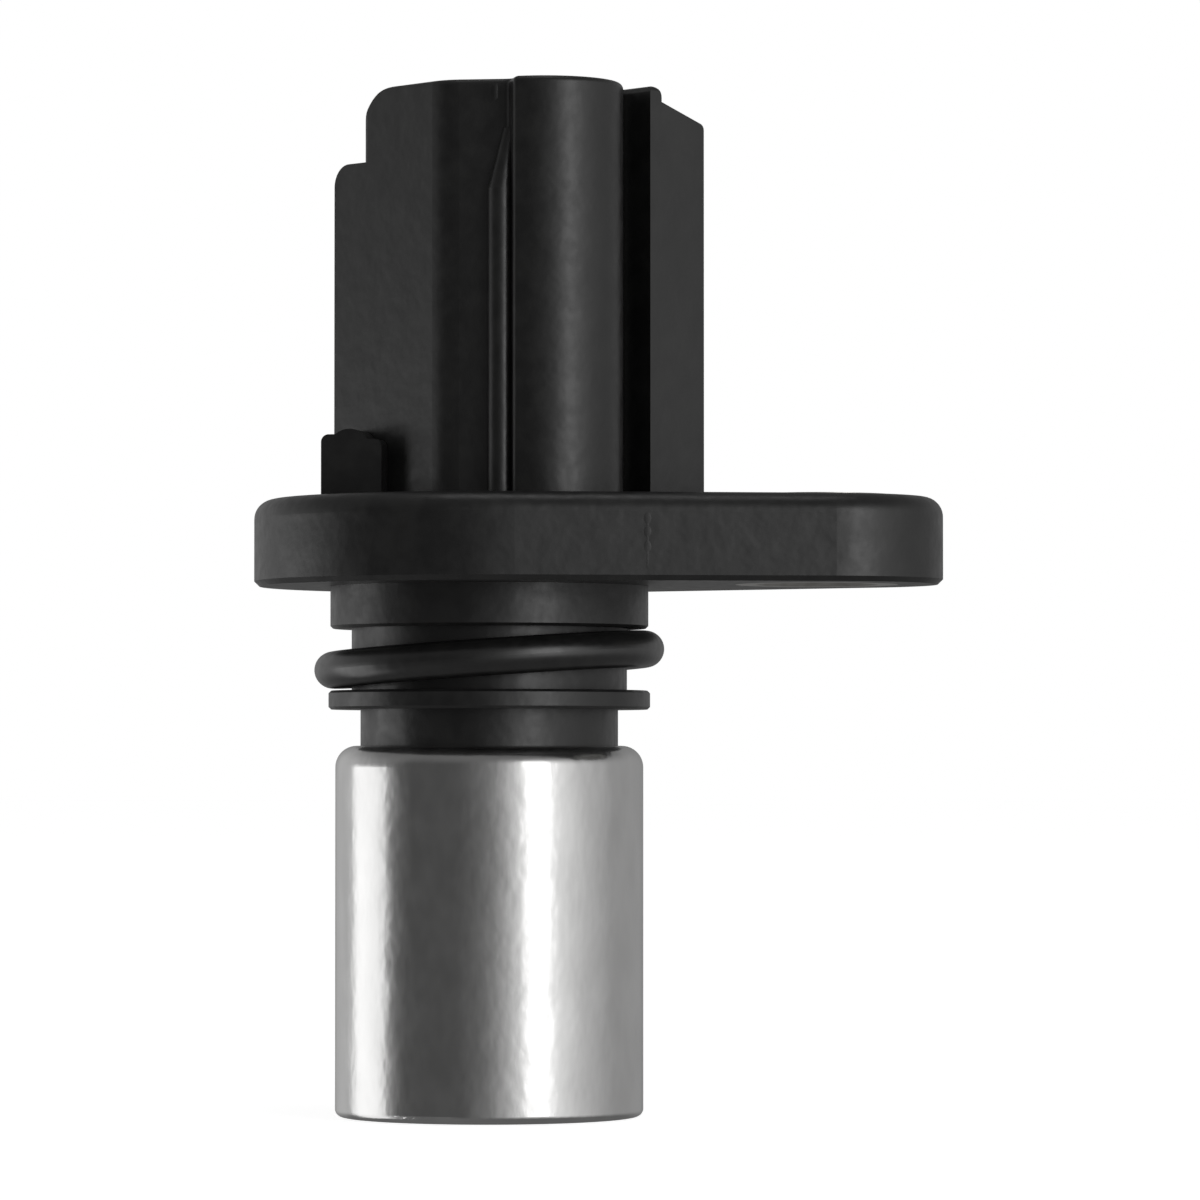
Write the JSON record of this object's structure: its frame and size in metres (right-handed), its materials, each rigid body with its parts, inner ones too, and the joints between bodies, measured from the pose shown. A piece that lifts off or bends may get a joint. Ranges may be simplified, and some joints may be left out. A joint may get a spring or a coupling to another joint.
{
  "type": "camshaft position sensor",
  "caption": "Plug-in camshaft position sensor with a one-bolt flange, a ringed barrel, a bright metal cup over its tip and a keyed plug-in connector.",
  "frame": {"origin": "on the barrel's axis, in the plane of the flange's seating face", "axes": "+Z along the barrel's axis towards the connector, +X from the barrel's axis towards the bolt hole, +Y completing the right-handed frame"},
  "size_m": [0.0405, 0.0274, 0.0601],
  "materials": {
    "black_plastic": "satin",
    "stainless_cup": "bright drawn",
    "seal_rubber": "smooth",
    "bush_steel": "zinc plated",
    "terminal_tin": "tin plated",
    "holder_plastic": "matte",
    "magnet_plating": "nickel plated",
    "chip_plastic": "matte",
    "board_laminate": "satin",
    "capacitor_ceramic": "matte",
    "resistor_black": "satin",
    "insulator_film": "smooth",
    "potting_resin": "smooth"
  },
  "bodies": {
    "root": {"housing": "black_plastic", "sensor_sleeve": "stainless_cup", "o_ring": "seal_rubber", "bolt_bush": "bush_steel", "terminal_supply": "terminal_tin", "terminal_signal": "terminal_tin", "terminal_ground": "terminal_tin", "sleeve_seal": "seal_rubber", "element_holder": "holder_plastic", "magnet": "magnet_plating", "magnet_yoke": "bush_steel", "hall_chip": "chip_plastic", "chip_lead_supply": "terminal_tin", "chip_lead_signal": "terminal_tin", "chip_lead_ground": "terminal_tin", "circuit_board": "board_laminate", "supply_capacitor": "capacitor_ceramic", "output_capacitor": "capacitor_ceramic", "pull_up_resistor": "resistor_black", "end_insulator": "insulator_film", "potting": "potting_resin"}
  },
  "joints": []
}
